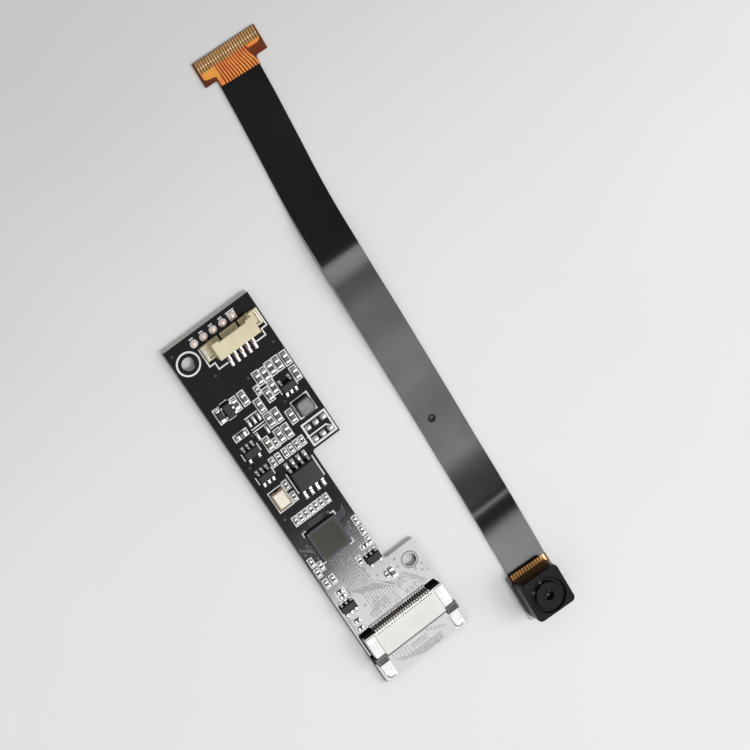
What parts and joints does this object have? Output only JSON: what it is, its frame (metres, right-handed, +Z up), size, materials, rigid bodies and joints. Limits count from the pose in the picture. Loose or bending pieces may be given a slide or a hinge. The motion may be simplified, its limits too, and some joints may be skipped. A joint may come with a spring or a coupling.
{
  "type": "usb camera module",
  "caption": "Long controller board with a wire header and a flex socket, and a small fixed-focus camera head on a flexible printed circuit that plugs into the socket.",
  "frame": {"origin": "on the axis of the board's mounting hole beside the wire header, at the level that board and camera head lie on", "axes": "+X across the board from that hole towards the header's far end, +Y along the board towards the wire header, +Z up out of the board's component side"},
  "size_m": [0.0438, 0.1169, 0.0049],
  "materials": {
    "solder_mask": "black glossy solder mask over laminate",
    "masked_copper": "tracks under the solder mask",
    "tinned_land": "bright tin",
    "legend_ink": "white print",
    "solder": "bright solder",
    "header_nylon": "cream moulding",
    "tinned_contact": "tinned",
    "socket_polymer": "ivory moulding",
    "gilt_contact": "gold flashed",
    "slider_polymer": "dark grey moulding",
    "package_resin": "black moulding compound",
    "ferrite": "sintered grey",
    "crystal_ceramic": "cream ceramic",
    "crystal_metal": "gilt lid",
    "capacitor_ceramic": "tan ceramic",
    "resistor_glass": "black glaze",
    "amber_film": "amber polyimide",
    "black_cover": "black glossy cover film",
    "flex_copper": "copper under amber film",
    "amber_stiffener": "brown polyimide",
    "steel_plate": "plain steel",
    "sensor_glass": "dark glass",
    "holder_polymer": "black fine-grained moulding",
    "filter_glass": "coated glass",
    "barrel_polymer": "black moulding",
    "lens_glass": "coated glass",
    "spacer_film": "matt black",
    "clear_adhesive": "clear cured adhesive"
  },
  "bodies": {
    "module": {"circuit_board": "solder_mask", "copper_tracks": "masked_copper", "solder_lands": "tinned_land", "legend_print": "legend_ink", "through_hole_solder": "solder", "header_housing": "header_nylon", "header_contacts": "tinned_contact", "header_solder_tabs": "tinned_contact", "socket_housing": "socket_polymer", "socket_contacts": "gilt_contact", "socket_hold_downs": "tinned_contact", "image_processor": "package_resin", "processor_terminals": "tinned_contact", "flash_memory": "package_resin", "flash_memory_leads": "tinned_contact", "regulators": "package_resin", "regulator_leads": "tinned_contact", "power_inductor": "ferrite", "inductor_terminals": "tinned_contact", "crystal_case": "crystal_ceramic", "crystal_lid": "crystal_metal", "clamp_diode": "package_resin", "clamp_diode_terminals": "tinned_contact", "chip_capacitors": "capacitor_ceramic", "capacitor_terminals": "tinned_contact", "chip_resistors": "resistor_glass", "resistor_terminals": "tinned_contact", "flex_film": "amber_film", "flex_upper_cover": "black_cover", "flex_lower_cover": "black_cover", "flex_tracks": "flex_copper", "tail_contacts": "gilt_contact", "tail_stiffener": "amber_stiffener", "head_stiffener": "steel_plate", "image_sensor": "sensor_glass", "head_capacitors": "capacitor_ceramic", "lens_holder": "holder_polymer", "infrared_filter": "filter_glass", "lens_barrel": "barrel_polymer", "front_lens": "lens_glass", "middle_lens": "lens_glass", "rear_lens": "lens_glass", "lens_spacer": "spacer_film", "retaining_ring": "spacer_film", "locking_adhesive": "clear_adhesive"},
    "lock_slider_body": {"lock_slider": "slider_polymer"}
  },
  "joints": [
    {"name": "lock_slide", "type": "slide", "parent": "module", "child": "lock_slider_body", "axis": [0, -1, 0], "range_m": [0, 0.001]}
  ]
}
